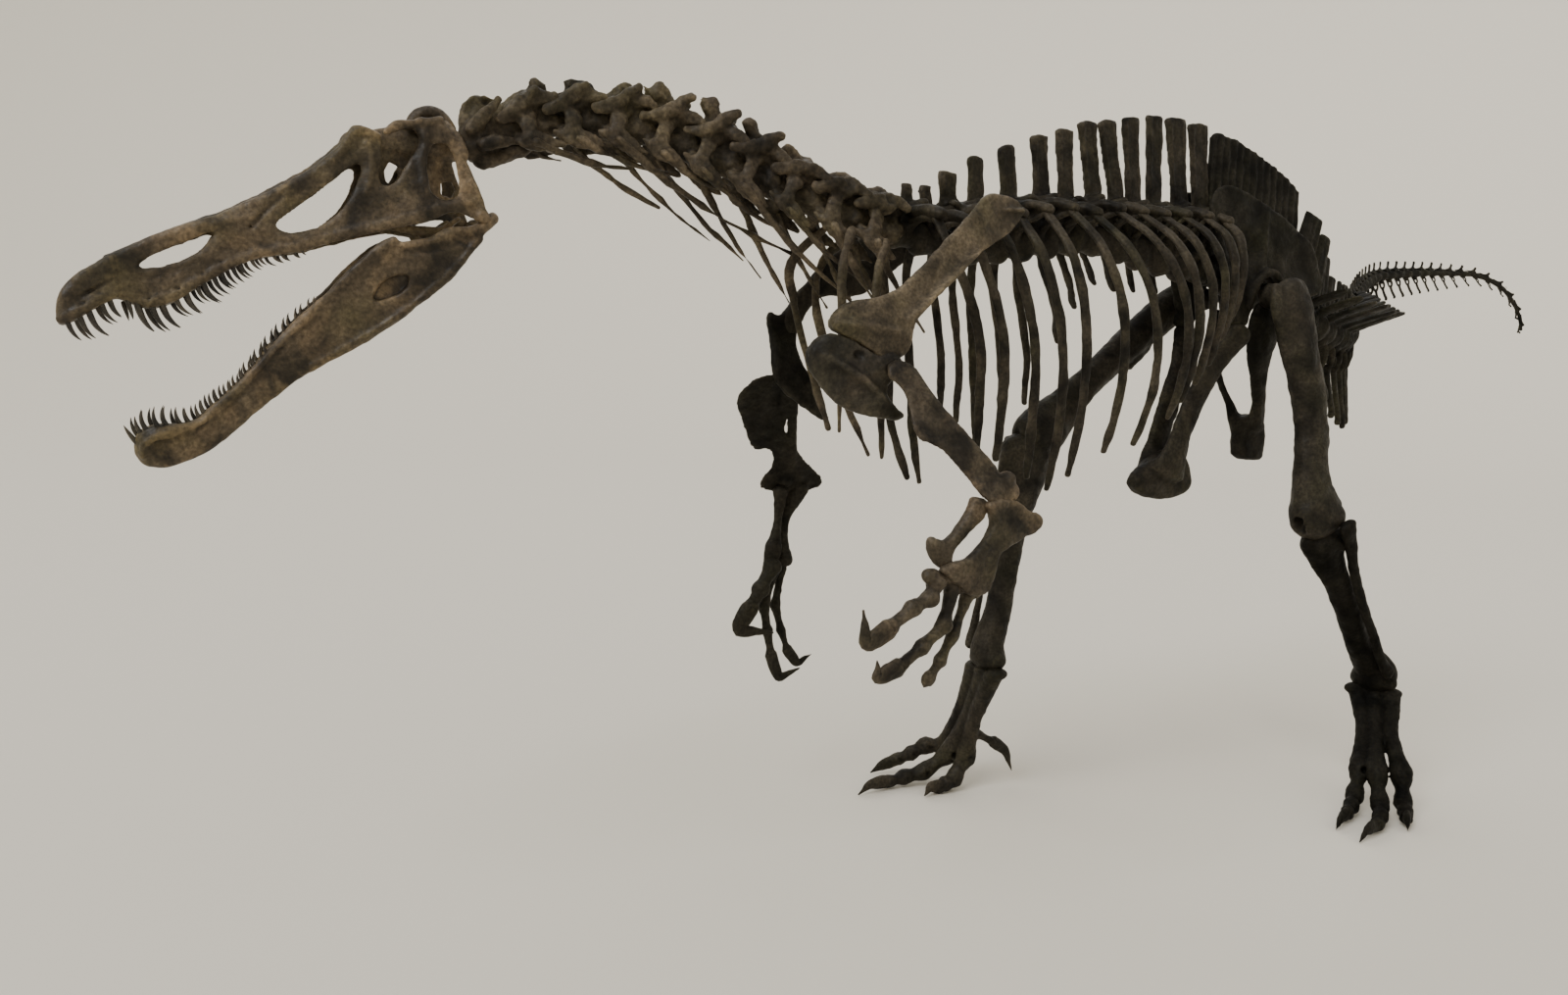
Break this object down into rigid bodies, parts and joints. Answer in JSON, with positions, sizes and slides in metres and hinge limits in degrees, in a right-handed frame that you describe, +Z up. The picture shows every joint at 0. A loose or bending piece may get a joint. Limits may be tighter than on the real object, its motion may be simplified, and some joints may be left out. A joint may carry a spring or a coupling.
{
  "type": "mounted suchomimus skeleton",
  "caption": "Standing skeleton of a long-snouted, sail-backed theropod dinosaur in a walking pose, with open toothy jaws, hooked thumb claws and a long curving tail.",
  "frame": {"origin": "middle of the skeleton's footprint box, on the floor that the feet stand on", "axes": "+Z up, the head points to -X and the tail to +X, +Y is the animal's right side"},
  "size_m": [8.2904, 1.7922, 2.9182],
  "materials": {
    "head_bone": "matte",
    "body_bone": "matte",
    "dark_bone": "matte"
  },
  "bodies": {
    "root": {"skull": "head_bone", "lower_jaw": "head_bone", "cervical_1_2": "head_bone", "cervical_3": "head_bone", "cervical_4": "head_bone", "cervical_5": "head_bone", "cervical_6": "head_bone", "cervical_7": "head_bone", "cervical_8": "head_bone", "cervical_9": "head_bone", "cervical_10": "head_bone", "dorsal_1": "body_bone", "dorsal_2": "body_bone", "dorsal_3": "body_bone", "dorsal_4": "body_bone", "dorsal_5": "body_bone", "dorsal_6": "body_bone", "dorsal_7": "body_bone", "dorsal_8": "body_bone", "dorsal_9": "body_bone", "dorsal_10": "body_bone", "dorsal_11": "body_bone", "dorsal_12": "body_bone", "dorsal_13": "body_bone", "sacrum": "dark_bone", "pubes": "dark_bone", "ischia": "dark_bone", "tail_1": "dark_bone", "tail_2": "dark_bone", "tail_3": "dark_bone", "tail_4": "dark_bone", "tail_5": "dark_bone", "tail_6": "dark_bone", "tail_7": "dark_bone", "tail_8": "dark_bone", "tail_9": "dark_bone", "tail_10": "dark_bone", "tail_11": "dark_bone", "tail_12": "dark_bone", "tail_13": "dark_bone", "ilium_left": "dark_bone", "shoulder_blade_left": "head_bone", "humerus_left": "body_bone", "ulna_left": "body_bone", "radius_left": "body_bone", "hand_left": "body_bone", "femur_left": "dark_bone", "tibia_left": "dark_bone", "fibula_left": "dark_bone", "foot_left": "dark_bone", "ilium_right": "dark_bone", "shoulder_blade_right": "head_bone", "humerus_right": "body_bone", "ulna_right": "body_bone", "radius_right": "body_bone", "hand_right": "body_bone", "femur_right": "dark_bone", "tibia_right": "dark_bone", "fibula_right": "dark_bone", "foot_right": "dark_bone"}
  },
  "joints": []
}
